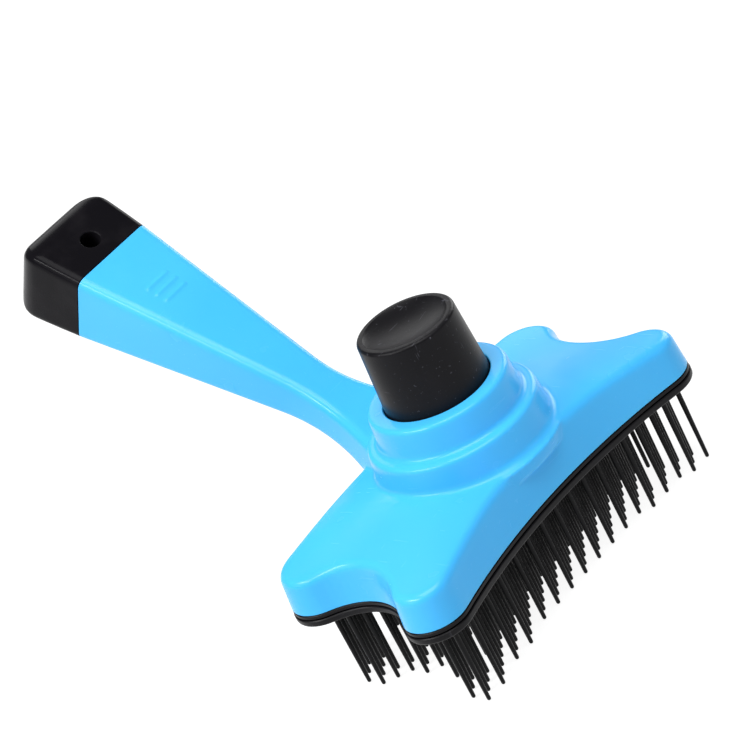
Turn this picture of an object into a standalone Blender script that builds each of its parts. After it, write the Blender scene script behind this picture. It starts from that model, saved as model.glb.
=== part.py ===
"""Self-cleaning slicker brush: a push button drives a plate down the pins and a spring returns it.

The sizes below are millimetres in the head's own frame: the button's axis is x = y = 0, the lower
rim of the blue shell is z = 0, the pins point down and the handle leaves towards +Y. At the end
everything is stood on its pin tips, with the centre of its box over the origin.
"""
import math

import bmesh
import bpy
from mathutils import Vector

MM = 0.001
GAP = 0.3                    # clearance between pieces that meet

# Head outline, a bone shape of tangent arcs
HEAD_HALF_WIDTH = 53.1
FRONT_LOBE_R = 8.4           # arc round each front corner
REAR_LOBE_R = 9.0            # arc round each rear corner
REAR_TUCK = 0.8              # the rear corners stand this much further in
FRONT_LOBE_Y = -20.8
REAR_LOBE_Y = 17.5
WAIST_R = 17.5               # hollow at each end, between the corners
FRONT_Y = -23.1              # middle of the hollow front edge

# Head shell
WALL = 2.0
ROOF = 2.0
WALL_DRAFT = 0.08            # how far the walls lean in for each millimetre up
EDGE_Z_END = 8.7             # height of the top edge at the two ends
EDGE_Z_MID = 12.0            # and at the middle
EDGE_ROUND = 2.4
CROWN_Z = 13.8
CROWN_BAR = 24.0             # half length of the level ridge, which then slopes to the ends
BOSS_R = 3.0
PILOT_CLEAR = 0.3            # between a screw and the hole in plastic that it bites into

# Collar that guides the button
COLLAR_WALL = 2.7
LOWER_STEP_Z = 20.8
UPPER_STEP_Z = 29.1
STEP_WIDTH = 3.8             # the lower step stands out this far from the upper one
STEP_DRAFT = 0.06
STEP_ROUND = 1.1
COLLAR_ROOF = 2.6

# Handle
HANDLE_TILT = math.radians(34.5)
HANDLE_ROOT = (16.6, 12.0)   # y and z where the line of its top face starts
HANDLE_LENGTH = 94.5         # from there to the seam with the cap
ROOT_HALF_WIDTH = 2.2        # of the straight taper, before the neck flares
SEAM_HALF_WIDTH = 13.1
ROOT_THICKNESS = 7.1
SEAM_THICKNESS = 21.8
HANDLE_ROUND = 2.2
FLARE_LENGTH = 36.0          # the neck widens into the collar over this length
FLARE = 0.0097
LIFT_LENGTH = 32.0           # and its top face curves up to the collar's lower step
LIFT = 0.005
CORE_LENGTH = 46.0           # depth of the hollow behind the cap

# End cap
CAP_LENGTH = 20.3            # along its top face
CAP_RAKE = 1.2               # its underside is this much longer
CAP_WALL = 2.0
CAP_FLARE = 1.1              # each side swells by this towards the end
CAP_CORNER_R = 7.5           # the end's corners, seen from above
CAP_TOP_R = 8.0              # the end's upper and lower edges, seen from the side
CAP_BOTTOM_R = 4.2
PLUG_LENGTH = 10.0
HANG_HOLE_R = 2.6
HANG_HOLE_FROM_SEAM = 6.9
HANG_TUBE_WALL = 1.5

# Button
TRAVEL = 16.0
BUTTON_TOP_R = 12.5
BUTTON_TAPER = 1.0           # its base is this much larger in radius
BUTTON_PROUD = 2.3           # how far it still stands out when pressed
BUTTON_WALL = 2.2
BUTTON_DISH = 1.9
BUTTON_EDGE_R = 0.9
FLANGE_STEP = 1.6            # how far the retaining flange stands out
FLANGE_THICK = 2.2
BUTTON_BOSS_R = 3.0
BUTTON_BOSS_LENGTH = 6.6

# Pins: a staggered grid
PIN_PITCH = 5.7              # between pins of one row
ROW_PITCH = 2.5              # between rows, each shifted by half a pitch
PIN_ROW_Y = -19.4            # the foremost row with a pin on the middle line
PIN_HALF = 0.5               # half the width of a pin
PIN_REACH = 25.5             # from the rim down to the tips
PIN_MARGIN = 2.8             # from a pin's centre to the head's outline
PIN_END_MARGIN = 7.2         # and to the head's two ends
PIN_WEB = 0.4                # least plastic between a pin and a screw's or a leg's hole
PIN_HOLLOW_R = 16.4          # the field has its own hollow at each end
PIN_HOLLOW_OUT = 2.9         # whose centre lies this far beyond the end
PIN_HOLLOW_Y = -3.9
PIN_CORNER_CUT = 16.1        # chamfer of the field, from the corners of the head's box at the rear

# Pin plate and ejector plate
LIP_THICK = 1.0
PLATE_HEIGHT = 2.7           # of the part inside the shell, above the rim
CUP_WALL = 1.0
CUP_HEIGHT = 2.0
EJECTOR_THICK = 1.8
EJECTOR_PROUD = 0.2
EJECTOR_ROUND = 0.6

# Plunger and spring
LEG_R = 1.9
LEG_TURN = math.radians(24.5)  # the four legs' direction from the X axis
PLUNGER_THICK = 2.2
WIRE_R = 0.55
SPRING_TURNS = 7
FLAT_TURN = 0.7              # share of the turn at each end that lies flat

# Screws
PLATE_SCREW = {"shank": 1.1, "head": 2.2, "head_height": 1.1, "length": 8.0}
EJECTOR_SCREW = {"shank": 0.75, "head": 1.8, "head_height": 0.8, "length": 7.0}
BUTTON_SCREW = {"shank": 0.9, "head": 2.0, "head_height": 1.2, "length": 6.4}
PLATE_SCREW_FROM_END = 18.3  # from the head's ends
PLATE_SCREW_Y = 13.25

# Sizes and levels that follow from those above
FRONT_LOBE = (HEAD_HALF_WIDTH - FRONT_LOBE_R, FRONT_LOBE_Y)
REAR_LOBE = (HEAD_HALF_WIDTH - REAR_LOBE_R - REAR_TUCK, REAR_LOBE_Y)
REAR_Y = REAR_LOBE_Y + REAR_LOBE_R
HEAD_HALF_DEPTH = (REAR_Y - FRONT_Y) / 2
BUTTON_BASE_R = BUTTON_TOP_R + BUTTON_TAPER
BUTTON_TOP_Z = UPPER_STEP_Z + TRAVEL + BUTTON_PROUD
FLANGE_R = BUTTON_BASE_R + FLANGE_STEP
UPPER_STEP_R = FLANGE_R + GAP + COLLAR_WALL
LOWER_STEP_R = UPPER_STEP_R + STEP_WIDTH
PLUNGER_R = BUTTON_TOP_R - BUTTON_WALL - GAP
SPRING_R = PLUNGER_R - WIRE_R - GAP / 2
LEG_CIRCLE_R = SPRING_R - WIRE_R - GAP - LEG_R
LIP_TOP = -GAP
LIP_BOTTOM = LIP_TOP - LIP_THICK
EJECTOR_TOP = LIP_BOTTOM - GAP
EJECTOR_BOTTOM = EJECTOR_TOP - EJECTOR_THICK
FLANGE_TOP = UPPER_STEP_Z - COLLAR_ROOF - GAP
FLANGE_BOTTOM = FLANGE_TOP - FLANGE_THICK
BUTTON_CEILING = BUTTON_TOP_Z - BUTTON_DISH - BUTTON_WALL
PLUNGER_TOP = BUTTON_CEILING - BUTTON_BOSS_LENGTH - GAP
PLUNGER_BOTTOM = PLUNGER_TOP - PLUNGER_THICK
LEG_BOTTOM = EJECTOR_TOP + GAP

BLUE = ((0.055, 0.44, 0.90), 0.22, 0.0)
BLACK_GLOSS = ((0.012, 0.012, 0.014), 0.22, 0.0)
BLACK_SATIN = ((0.014, 0.014, 0.015), 0.42, 0.0)
STEEL = ((0.60, 0.61, 0.62), 0.28, 1.0)


# Meshes and materials

def material(name, look):
    colour, roughness, metallic = look
    made = bpy.data.materials.new(name)
    made.use_nodes = True
    shader = made.node_tree.nodes["Principled BSDF"]
    shader.inputs["Base Color"].default_value = (*colour, 1.0)
    shader.inputs["Roughness"].default_value = roughness
    shader.inputs["Metallic"].default_value = metallic
    return made


def new_object(name, points, faces):
    """An object from millimetre points, with its faces turned outwards."""
    mesh = bpy.data.meshes.new(name)
    mesh.from_pydata([Vector(p) * MM for p in points], [], faces)
    shape = bmesh.new()
    shape.from_mesh(mesh)
    bmesh.ops.recalc_face_normals(shape, faces=shape.faces)
    shape.to_mesh(mesh)
    shape.free()
    made = bpy.data.objects.new(name, mesh)
    bpy.context.scene.collection.objects.link(made)
    return made


def combine(base, tools, operation):
    """Joins or cuts the base with each tool in turn, and removes the tools."""
    for tool in tools:
        step = base.modifiers.new(operation, "BOOLEAN")
        step.operation = operation
        step.solver = "EXACT"
        step.object = tool
        bpy.context.view_layer.update()
        evaluated = base.evaluated_get(bpy.context.evaluated_depsgraph_get())
        result = bpy.data.meshes.new_from_object(evaluated)
        base.modifiers.remove(step)
        base.data = result
        bpy.data.objects.remove(tool)
    return base


def finish(made, surface, smooth_angle=35.0):
    made.data.materials.clear()
    made.data.materials.append(surface)
    made.data.shade_smooth()
    made.data.set_sharp_from_angle(angle=math.radians(smooth_angle))
    return made


def loft(name, rings):
    """A closed solid through rings that have equally many points, capped at both ends."""
    count = len(rings[0])
    points = [p for ring in rings for p in ring]
    faces = [list(range(count)), list(range(len(points) - count, len(points)))]
    for start in range(0, len(points) - count, count):
        for i in range(count):
            j = (i + 1) % count
            faces.append((start + i, start + j, start + count + j, start + count + i))
    return new_object(name, points, faces)


def lathe(name, profile, centre=(0.0, 0.0), segments=40):
    """Turns a profile of (radius, z) points about a vertical line, with flat ends off the axis."""
    x0, y0 = centre
    points = []
    rows = []
    for radius, z in profile:
        if radius == 0:
            rows.append([len(points)] * segments)
            points.append((x0, y0, z))
            continue
        rows.append(list(range(len(points), len(points) + segments)))
        for i in range(segments):
            angle = math.tau * (i + 0.5) / segments
            points.append((x0 + radius * math.cos(angle), y0 + radius * math.sin(angle), z))
    faces = [row for row, (radius, z) in ((rows[0], profile[0]), (rows[-1], profile[-1])) if radius]
    for low, high in zip(rows, rows[1:]):
        for i in range(segments):
            j = (i + 1) % segments
            corners = list(dict.fromkeys((low[i], low[j], high[j], high[i])))
            faces.append(corners)
    return new_object(name, points, faces)


def cylinder(name, centre, radius, low, high, segments=24):
    return lathe(name, [(radius, low), (radius, high)], centre, segments)


# Head outline

def arc(centre, radius, start, end, steps):
    """Points along an arc, with its start and without its end, angles in radians."""
    turn = (end - start) / steps
    return [(centre[0] + radius * math.cos(start + turn * i),
             centre[1] + radius * math.sin(start + turn * i)) for i in range(steps)]


def angle_of(start, end):
    return math.atan2(end[1] - start[1], end[0] - start[0])


def waist_centre():
    """Centre of the arc that touches both lobes of one end from outside."""
    front = Vector(FRONT_LOBE)
    rear = Vector(REAR_LOBE)
    apart = (rear - front).length
    near = FRONT_LOBE_R + WAIST_R
    far = REAR_LOBE_R + WAIST_R
    along = (apart ** 2 + near ** 2 - far ** 2) / (2 * apart)
    aside = math.sqrt(near ** 2 - along ** 2)
    direction = (rear - front).normalized()
    return front + direction * along + Vector((direction.y, -direction.x)) * aside


def outline(inset):
    """The head's outline, every arc offset inwards by the inset."""
    lobe_x, lobe_y = FRONT_LOBE
    rise = lobe_y - FRONT_Y
    front_r = (lobe_x ** 2 + rise ** 2 - FRONT_LOBE_R ** 2) / (2 * (FRONT_LOBE_R - rise))
    front_centre = (0.0, FRONT_Y - front_r)
    waist = waist_centre()
    to_front_lobe = angle_of(front_centre, FRONT_LOBE)
    front_to_waist = angle_of(FRONT_LOBE, waist)
    rear_to_waist = angle_of(REAR_LOBE, waist)
    side = arc(front_centre, front_r + inset, math.pi / 2, to_front_lobe, 4)
    side += arc(FRONT_LOBE, FRONT_LOBE_R - inset, to_front_lobe - math.pi, front_to_waist, 7)
    side += arc(waist, WAIST_R + inset, front_to_waist + math.pi, rear_to_waist + math.pi, 5)
    side += arc(REAR_LOBE, REAR_LOBE_R - inset, rear_to_waist, math.pi / 2, 6)
    rear_y = REAR_LOBE[1] + REAR_LOBE_R - inset
    side += [(REAR_LOBE[0] * share, rear_y) for share in (1.0, 0.5)]
    middle = [(0.0, rear_y)]
    return side + middle + [(-x, y) for x, y in reversed(side[1:])]


def at(height, ring):
    return [(x, y, height) for x, y in ring]


def inside(ring, x, y):
    """Whether a point lies within a closed ring of points."""
    odd = False
    for (ax, ay), (bx, by) in zip(ring, ring[1:] + ring[:1]):
        if (ay > y) != (by > y) and x < ax + (y - ay) * (bx - ax) / (by - ay):
            odd = not odd
    return odd


# Head, collar and handle shapes

def edge_z(x):
    reach = FRONT_LOBE[0] + FRONT_LOBE_R
    return EDGE_Z_END + (EDGE_Z_MID - EDGE_Z_END) * (1 - (x / reach) ** 2)


def top_z(x, y):
    """Height of the head's top, which slopes to the ends and dips towards the front and the rear."""
    beyond = max(abs(x) - CROWN_BAR, 0) / (HEAD_HALF_WIDTH - CROWN_BAR)
    ridge = CROWN_Z - (CROWN_Z - EDGE_Z_END) * beyond
    return ridge - (ridge - edge_z(x)) * (y / HEAD_HALF_DEPTH) ** 2


def head_solid(name, inset, drop, bottom):
    """The domed head, made smaller by the inset and the drop to give its own hollow."""
    rings = [at(bottom, outline(inset))]
    if bottom < 0:
        rings.append(at(0, outline(inset)))
    lean = inset + WALL_DRAFT * EDGE_Z_END
    edge = [(x, y, top_z(x, y) - drop) for x, y in outline(lean + EDGE_ROUND)]
    for turn in (0, 30, 60):
        angle = math.radians(turn)
        ring = outline(lean + EDGE_ROUND * (1 - math.cos(angle)))
        fall = EDGE_ROUND * (1 - math.sin(angle))
        rings.append([(x, y, z - fall) for (x, y), (_, _, z) in zip(ring, edge)])
    rings.append(edge)
    for share in (0.3, 0.6, 0.85, 0.97):
        ring = []
        for x, y, _ in edge:
            bar_x = max(-CROWN_BAR, min(CROWN_BAR, x))
            now = (x + (bar_x - x) * share, y * (1 - share))
            ring.append((*now, top_z(*now) - drop))
        rings.append(ring)
    rings[-1] = at(CROWN_Z - drop, [(x, y) for x, y, _ in rings[-1]])
    return loft(name, rings)


def collar_solid():
    def step(radius, top, foot):
        drawn = [(radius + STEP_DRAFT * (top - foot), foot)]
        for turn in (0, 45, 90):
            angle = math.radians(turn)
            drawn.append((radius - STEP_ROUND * (1 - math.cos(angle)),
                          top - STEP_ROUND * (1 - math.sin(angle))))
        return drawn
    profile = [(LOWER_STEP_R - WALL, EDGE_Z_END)]
    profile += step(LOWER_STEP_R, LOWER_STEP_Z, EDGE_Z_MID)
    profile += step(UPPER_STEP_R, UPPER_STEP_Z, LOWER_STEP_Z)
    return lathe("collar", profile, segments=44)


def handle_frame(along):
    """Point on the line of the handle's top face, and that face's normal."""
    y, z = HANDLE_ROOT
    up = Vector((0, -math.sin(HANDLE_TILT), math.cos(HANDLE_TILT)))
    top = Vector((0, y + along * math.cos(HANDLE_TILT), z + along * math.sin(HANDLE_TILT)))
    return top, up


def handle_section(along, half_width, top, thickness, corner):
    """A rounded rectangle square to the handle, its top face raised by top."""
    origin, up = handle_frame(along)
    corner = min(corner, half_width * 0.95, thickness * 0.45)
    ring = []
    for side_x, side_n, start in ((1, 0, 0), (-1, 0, 90), (-1, -1, 180), (1, -1, 270)):
        centre_x = side_x * (half_width - corner)
        centre_n = top - corner if side_n == 0 else top - thickness + corner
        for turn in (0, 30, 60, 90):
            angle = math.radians(start + turn)
            across = centre_x + corner * math.cos(angle)
            ring.append(origin + up * (centre_n + corner * math.sin(angle)) + Vector((across, 0, 0)))
    return ring


def handle_size(along):
    """Half width and thickness of the straight taper at a distance from its root."""
    share = along / HANDLE_LENGTH
    half_width = ROOT_HALF_WIDTH + (SEAM_HALF_WIDTH - ROOT_HALF_WIDTH) * share
    thickness = ROOT_THICKNESS + (SEAM_THICKNESS - ROOT_THICKNESS) * share
    return half_width, thickness


def handle_solid():
    rings = []
    stations = [FLARE_LENGTH * i / 7 for i in range(8)]
    stations += [FLARE_LENGTH + (HANDLE_LENGTH - FLARE_LENGTH) * i / 3 for i in (1, 2, 3)]
    for along in stations:
        half_width, thickness = handle_size(along)
        half_width += FLARE * max(FLARE_LENGTH - along, 0) ** 2
        lift = LIFT * max(LIFT_LENGTH - along, 0) ** 2
        rings.append(handle_section(along, half_width, lift, thickness + lift, HANDLE_ROUND))
    return loft("handle", rings)


def handle_core(name, start, end, inset):
    """The space inside the handle, or the plug that fills its mouth."""
    rings = []
    for along in (start, end):
        half_width, thickness = handle_size(along)
        rings.append(handle_section(along, half_width - inset, -inset, thickness - 2 * inset,
                                    HANDLE_ROUND - 1))
    return loft(name, rings)


# Screws

def four_places(x, y):
    return [(side_x * x, side_y * y) for side_x in (-1, 1) for side_y in (-1, 1)]


def plate_screw_places():
    return four_places(HEAD_HALF_WIDTH - PLATE_SCREW_FROM_END, PLATE_SCREW_Y)


def leg_places():
    return four_places(LEG_CIRCLE_R * math.cos(LEG_TURN), LEG_CIRCLE_R * math.sin(LEG_TURN))


def screw(name, centre, head_bottom, size, steel):
    """A pan-head screw that points up, with a cross recess left out."""
    head_top = head_bottom + size["head_height"]
    tip = head_top + size["length"]
    profile = [(size["head"] * 0.7, head_bottom),
               (size["head"], head_bottom + size["head_height"] * 0.4), (size["head"], head_top),
               (size["shank"], head_top), (size["shank"], tip - size["shank"]),
               (size["shank"] * 0.3, tip)]
    return finish(lathe(name, profile, centre, 10), steel)


# Pieces

def make_shell(blue):
    shell = head_solid("body_shell", 0, 0, 0)
    combine(shell, [collar_solid(), handle_solid()], "UNION")
    bore_r = FLANGE_R + GAP
    bore = cylinder("bore", (0, 0), bore_r, -5, UPPER_STEP_Z - COLLAR_ROOF, 40)
    mouth = cylinder("mouth", (0, 0), BUTTON_BASE_R + GAP, -4, UPPER_STEP_Z + 5, 40)
    core = handle_core("core", HANDLE_LENGTH - CORE_LENGTH, HANDLE_LENGTH + 2, WALL)
    combine(shell, [head_solid("hollow", WALL, ROOF, -5), bore, mouth, core], "DIFFERENCE")
    boss_low = PLATE_HEIGHT + GAP
    boss_high = EDGE_Z_END + ROOF
    bosses = [cylinder("boss", p, BOSS_R, boss_low, boss_high, 16) for p in plate_screw_places()]
    combine(shell, bosses, "UNION")
    pilot_r = PLATE_SCREW["shank"] + PILOT_CLEAR
    pilot_top = plate_screw_head() + PLATE_SCREW["head_height"] + PLATE_SCREW["length"] + PILOT_CLEAR
    pilots = [cylinder("pilot", p, pilot_r, boss_low - 1, pilot_top, 12) for p in plate_screw_places()]
    return finish(combine(shell, pilots, "DIFFERENCE"), blue)


def plate_screw_head():
    """Underside of a pin plate screw's head, just inside its counterbore."""
    return LIP_BOTTOM + GAP / 2


def rounded_off(into, radius):
    """How far a round edge has fallen away at a distance past where it starts."""
    into = max(into, 0)
    return radius - math.sqrt(max(radius ** 2 - into ** 2, 0))


def cap_solid(name, start, inset):
    """The cap beyond the seam, made smaller by the inset to give its own hollow."""
    seam = HANDLE_LENGTH + GAP
    forward = Vector((0, math.cos(HANDLE_TILT), math.sin(HANDLE_TILT)))
    length = CAP_LENGTH - inset
    corner_r = CAP_CORNER_R - inset
    top_r = CAP_TOP_R - inset
    bottom_r = CAP_BOTTOM_R - inset
    rings = []
    stops = [start, length * 0.3, length - top_r]
    stops += [length - top_r * (1 - math.sin(math.radians(turn))) for turn in (18, 36, 52, 66, 78, 90)]
    for stop in stops:
        thickness = handle_size(seam + stop)[1] - 2 * inset
        half_width = SEAM_HALF_WIDTH - inset + CAP_FLARE * math.sin(math.pi / 2 * stop / length)
        narrow = rounded_off(stop - length + corner_r, corner_r)
        top = rounded_off(stop - length + top_r, top_r)
        bottom = rounded_off(stop - length + bottom_r, bottom_r)
        ring = handle_section(seam + stop, half_width - narrow, -inset - top,
                              thickness - top - bottom, HANDLE_ROUND)
        origin, up = handle_frame(seam + stop)
        rake = CAP_RAKE * stop / length / thickness
        rings.append([p + forward * rake * (origin - p).dot(up) for p in ring])
    return loft(name, rings)


def hang_cylinder(name, radius, above, below):
    """A cylinder through the cap, square to the handle, between two heights from its top face."""
    centre, up = handle_frame(HANDLE_LENGTH + HANG_HOLE_FROM_SEAM)
    sideways = Vector((1, 0, 0))
    forward = up.cross(sideways)
    rings = []
    for height in (above, below):
        turns = [math.tau * i / 20 for i in range(20)]
        rings.append([centre + up * height + (sideways * math.cos(t) + forward * math.sin(t)) * radius
                      for t in turns])
    return loft(name, rings)


def make_cap(black):
    seam = HANDLE_LENGTH + GAP
    depth = handle_size(seam + HANG_HOLE_FROM_SEAM)[1]
    cap = cap_solid("handle_cap", 0.0, 0.0)
    plug = handle_core("plug", HANDLE_LENGTH - PLUG_LENGTH, seam + 1, WALL + GAP)
    combine(cap, [plug], "UNION")
    mouth = handle_core("cap_mouth", HANDLE_LENGTH - PLUG_LENGTH - 1, seam + 2 * CAP_WALL,
                        2 * WALL + GAP)
    combine(cap, [cap_solid("cap_hollow", CAP_WALL, CAP_WALL), mouth], "DIFFERENCE")
    tube_r = HANG_HOLE_R + HANG_TUBE_WALL
    tube = hang_cylinder("hang_tube", tube_r, -CAP_WALL / 2, CAP_WALL / 2 - depth)
    combine(cap, [tube], "UNION")
    hole = hang_cylinder("hang_hole", HANG_HOLE_R, CAP_WALL, -depth - 2 * CAP_WALL)
    return finish(combine(cap, [hole], "DIFFERENCE"), black)


def make_button(black):
    inner_r = BUTTON_TOP_R - BUTTON_WALL
    edge = BUTTON_EDGE_R
    pilot_r = BUTTON_SCREW["shank"] + PILOT_CLEAR
    pilot_top = PLUNGER_BOTTOM + BUTTON_SCREW["length"]
    boss_end = BUTTON_CEILING - BUTTON_BOSS_LENGTH
    profile = [(pilot_r, pilot_top), (pilot_r, boss_end), (BUTTON_BOSS_R, boss_end),
               (BUTTON_BOSS_R, BUTTON_CEILING), (inner_r, BUTTON_CEILING),
               (BUTTON_BASE_R - BUTTON_WALL, FLANGE_BOTTOM), (FLANGE_R, FLANGE_BOTTOM),
               (FLANGE_R, FLANGE_TOP), (BUTTON_BASE_R, FLANGE_TOP), (BUTTON_BASE_R, UPPER_STEP_Z),
               (BUTTON_TOP_R, BUTTON_TOP_Z - edge), (BUTTON_TOP_R - edge * 0.3, BUTTON_TOP_Z - edge * 0.3),
               (BUTTON_TOP_R - edge, BUTTON_TOP_Z)]
    rim_r = BUTTON_TOP_R - 2 * edge
    for share in (1.0, 0.75, 0.5, 0.25, 0.0):
        profile.append((rim_r * share, BUTTON_TOP_Z - BUTTON_DISH * (1 - share ** 2)))
    return finish(lathe("push_button", profile, segments=32), black)


def make_plunger(black):
    plunger = cylinder("plunger", (0, 0), PLUNGER_R, PLUNGER_BOTTOM, PLUNGER_TOP, 32)
    legs = [cylinder("leg", p, LEG_R, LEG_BOTTOM, PLUNGER_BOTTOM + 1, 16) for p in leg_places()]
    combine(plunger, legs, "UNION")
    pilot_r = EJECTOR_SCREW["shank"] + PILOT_CLEAR
    pilot_top = ejector_screw_head() + EJECTOR_SCREW["head_height"] + EJECTOR_SCREW["length"] + PILOT_CLEAR
    holes = [cylinder("pilot", p, pilot_r, LEG_BOTTOM - 1, pilot_top, 12) for p in leg_places()]
    hole_r = BUTTON_SCREW["shank"] + GAP
    holes.append(cylinder("hole", (0, 0), hole_r, PLUNGER_BOTTOM - 1, PLUNGER_TOP + 1, 12))
    return finish(combine(plunger, holes, "DIFFERENCE"), black)


def make_spring(steel):
    """A coil from the pin plate up to the plunger, its end turns flat."""
    low = PLATE_HEIGHT + GAP + WIRE_R
    high = PLUNGER_BOTTOM - GAP - WIRE_R
    steps_per_turn = 12
    steps = SPRING_TURNS * steps_per_turn
    rings = []
    for i in range(steps + 1):
        angle = math.tau * i / steps_per_turn
        share = (i / steps_per_turn - FLAT_TURN) / (SPRING_TURNS - 2 * FLAT_TURN)
        height = low + (high - low) * min(max(share, 0), 1)
        outward = Vector((math.cos(angle), math.sin(angle), 0))
        middle = outward * SPRING_R + Vector((0, 0, height))
        turns = [math.tau * k / 5 for k in range(5)]
        rings.append([middle + outward * WIRE_R * math.cos(t) + Vector((0, 0, WIRE_R * math.sin(t)))
                      for t in turns])
    return finish(loft("return_spring", rings), steel, 70)


def pin_places():
    """Every place of the grid that lies in the field and clear of the screws and legs."""
    field = outline(PIN_MARGIN)
    corner = math.sqrt(2) * PIN_HALF
    holes = [(p, PLATE_SCREW["head"] + GAP + PIN_WEB + corner) for p in plate_screw_places()]
    holes += [(p, LEG_R + GAP + PIN_WEB + corner) for p in leg_places()]
    hollow = (HEAD_HALF_WIDTH + PIN_HOLLOW_OUT, PIN_HOLLOW_Y)
    reach_x = int(HEAD_HALF_WIDTH / (PIN_PITCH / 2))
    front_rows = int((PIN_ROW_Y - FRONT_LOBE_Y + FRONT_LOBE_R) / ROW_PITCH)
    rear_rows = int((REAR_Y - PIN_ROW_Y) / ROW_PITCH)
    places = []
    for row in range(-front_rows, rear_rows + 1):
        for column in range(-reach_x, reach_x + 1):
            x = column * PIN_PITCH / 2
            y = PIN_ROW_Y + row * ROW_PITCH
            in_field = abs(x) < HEAD_HALF_WIDTH - PIN_END_MARGIN and inside(field, x, y)
            in_field = in_field and math.dist((abs(x), y), hollow) > PIN_HOLLOW_R
            in_field = in_field and abs(x) + y < HEAD_HALF_WIDTH + REAR_Y - PIN_CORNER_CUT
            clear = all(math.dist((x, y), p) > distance for p, distance in holes)
            if (row + column) % 2 == 0 and in_field and clear:
                places.append((x, y))
    return places


def prisms(name, half, low, high):
    """One square prism at each pin's place, as one mesh."""
    points = []
    faces = []
    for x, y in pin_places():
        base = len(points)
        for z in (low, high):
            points += [(x - half, y - half, z), (x + half, y - half, z),
                       (x + half, y + half, z), (x - half, y + half, z)]
        quads = [(0, 1, 2, 3), (4, 5, 6, 7), (0, 1, 5, 4), (1, 2, 6, 5), (2, 3, 7, 6), (3, 0, 4, 7)]
        faces += [tuple(base + k for k in quad) for quad in quads]
    return new_object(name, points, faces)


def make_pin_plate(black):
    plate = loft("pin_plate", [at(LIP_BOTTOM, outline(0)), at(LIP_TOP, outline(0))])
    fit = WALL + GAP
    lean = WALL_DRAFT * EDGE_Z_END * PLATE_HEIGHT / (EDGE_Z_END - EDGE_ROUND - ROOF)
    raised = loft("raised", [at(LIP_TOP - LIP_THICK / 2, outline(fit)), at(0, outline(fit)),
                             at(PLATE_HEIGHT, outline(fit + lean))])
    cup_r = SPRING_R + WIRE_R + GAP
    cup = cylinder("cup", (0, 0), cup_r + CUP_WALL, PLATE_HEIGHT - 1, PLATE_HEIGHT + CUP_HEIGHT, 32)
    combine(plate, [raised, cup], "UNION")
    well = cylinder("well", (0, 0), cup_r, PLATE_HEIGHT, PLATE_HEIGHT + CUP_HEIGHT + 1, 32)
    low = LIP_BOTTOM - 1
    high = PLATE_HEIGHT + 1
    holes = [cylinder("hole", p, LEG_R + GAP, low, high, 16) for p in leg_places()]
    sink = plate_screw_head() + PLATE_SCREW["head_height"] + GAP
    for place in plate_screw_places():
        holes.append(cylinder("hole", place, PLATE_SCREW["shank"] + GAP, low, high, 12))
        holes.append(cylinder("sink", place, PLATE_SCREW["head"] + GAP, low, sink, 12))
    combine(plate, [well] + holes, "DIFFERENCE")
    combine(plate, [prisms("pins", PIN_HALF, -PIN_REACH, LIP_BOTTOM + LIP_THICK / 2)], "UNION")
    return finish(plate, black)


def ejector_screw_head():
    """Underside of an ejector screw's head, just inside its counterbore."""
    return EJECTOR_BOTTOM + GAP / 2


def make_ejector(black):
    plate = loft("ejector_plate", [
        at(EJECTOR_BOTTOM, outline(EJECTOR_ROUND - EJECTOR_PROUD)),
        at(EJECTOR_BOTTOM + EJECTOR_ROUND, outline(-EJECTOR_PROUD)),
        at(EJECTOR_TOP, outline(-EJECTOR_PROUD))])
    low = EJECTOR_BOTTOM - 1
    high = EJECTOR_TOP + 1
    combine(plate, [prisms("pin_holes", PIN_HALF + GAP, low, high)], "DIFFERENCE")
    holes = []
    sink = ejector_screw_head() + EJECTOR_SCREW["head_height"] + GAP
    for place in leg_places():
        holes.append(cylinder("hole", place, EJECTOR_SCREW["shank"] + GAP, low, high, 12))
        holes.append(cylinder("sink", place, EJECTOR_SCREW["head"] + GAP, low, sink, 12))
    return finish(combine(plate, holes, "DIFFERENCE"), black)


def stand_on_origin(pieces):
    """Hangs every piece on one empty, which puts the box's bottom centre on the origin."""
    low = [min(v.co[i] for piece in pieces for v in piece.data.vertices) for i in range(3)]
    high = [max(v.co[i] for piece in pieces for v in piece.data.vertices) for i in range(3)]
    stand = bpy.data.objects.new("stand", None)
    bpy.context.scene.collection.objects.link(stand)
    stand.location = (-(low[0] + high[0]) / 2, -(low[1] + high[1]) / 2, -low[2])
    for piece in pieces:
        piece.parent = stand


def main():
    for old in list(bpy.data.objects):
        bpy.data.objects.remove(old)
    blue = material("sky_blue_plastic", BLUE)
    black_gloss = material("black_gloss_plastic", BLACK_GLOSS)
    black_satin = material("black_satin_plastic", BLACK_SATIN)
    steel = material("zinc_plated_steel", STEEL)
    pieces = [make_shell(blue), make_cap(black_gloss), make_button(black_satin),
              make_plunger(black_satin), make_spring(steel), make_pin_plate(black_satin),
              make_ejector(black_satin)]
    for number, place in enumerate(plate_screw_places(), 1):
        pieces.append(screw(f"pin_plate_screw_{number}", place, plate_screw_head(), PLATE_SCREW, steel))
    for number, place in enumerate(leg_places(), 1):
        pieces.append(screw(f"ejector_screw_{number}", place, ejector_screw_head(), EJECTOR_SCREW, steel))
    button_screw_head = PLUNGER_BOTTOM - GAP - BUTTON_SCREW["head_height"]
    pieces.append(screw("button_screw", (0.0, 0.0), button_screw_head, BUTTON_SCREW, steel))
    stand_on_origin(pieces)


main()
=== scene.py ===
"""Looks of the self-cleaning slicker brush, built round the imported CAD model.

Shapes are drawn in millimetres in the head's own frame: the button's axis is x = y = 0, the lower rim
of the blue shell is z = 0, the pins point down and the handle leaves towards +Y. PLACE moves that
frame to where the CAD model stands.
"""
import math

import bmesh
import bpy
from mathutils import Matrix, Vector


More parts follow.
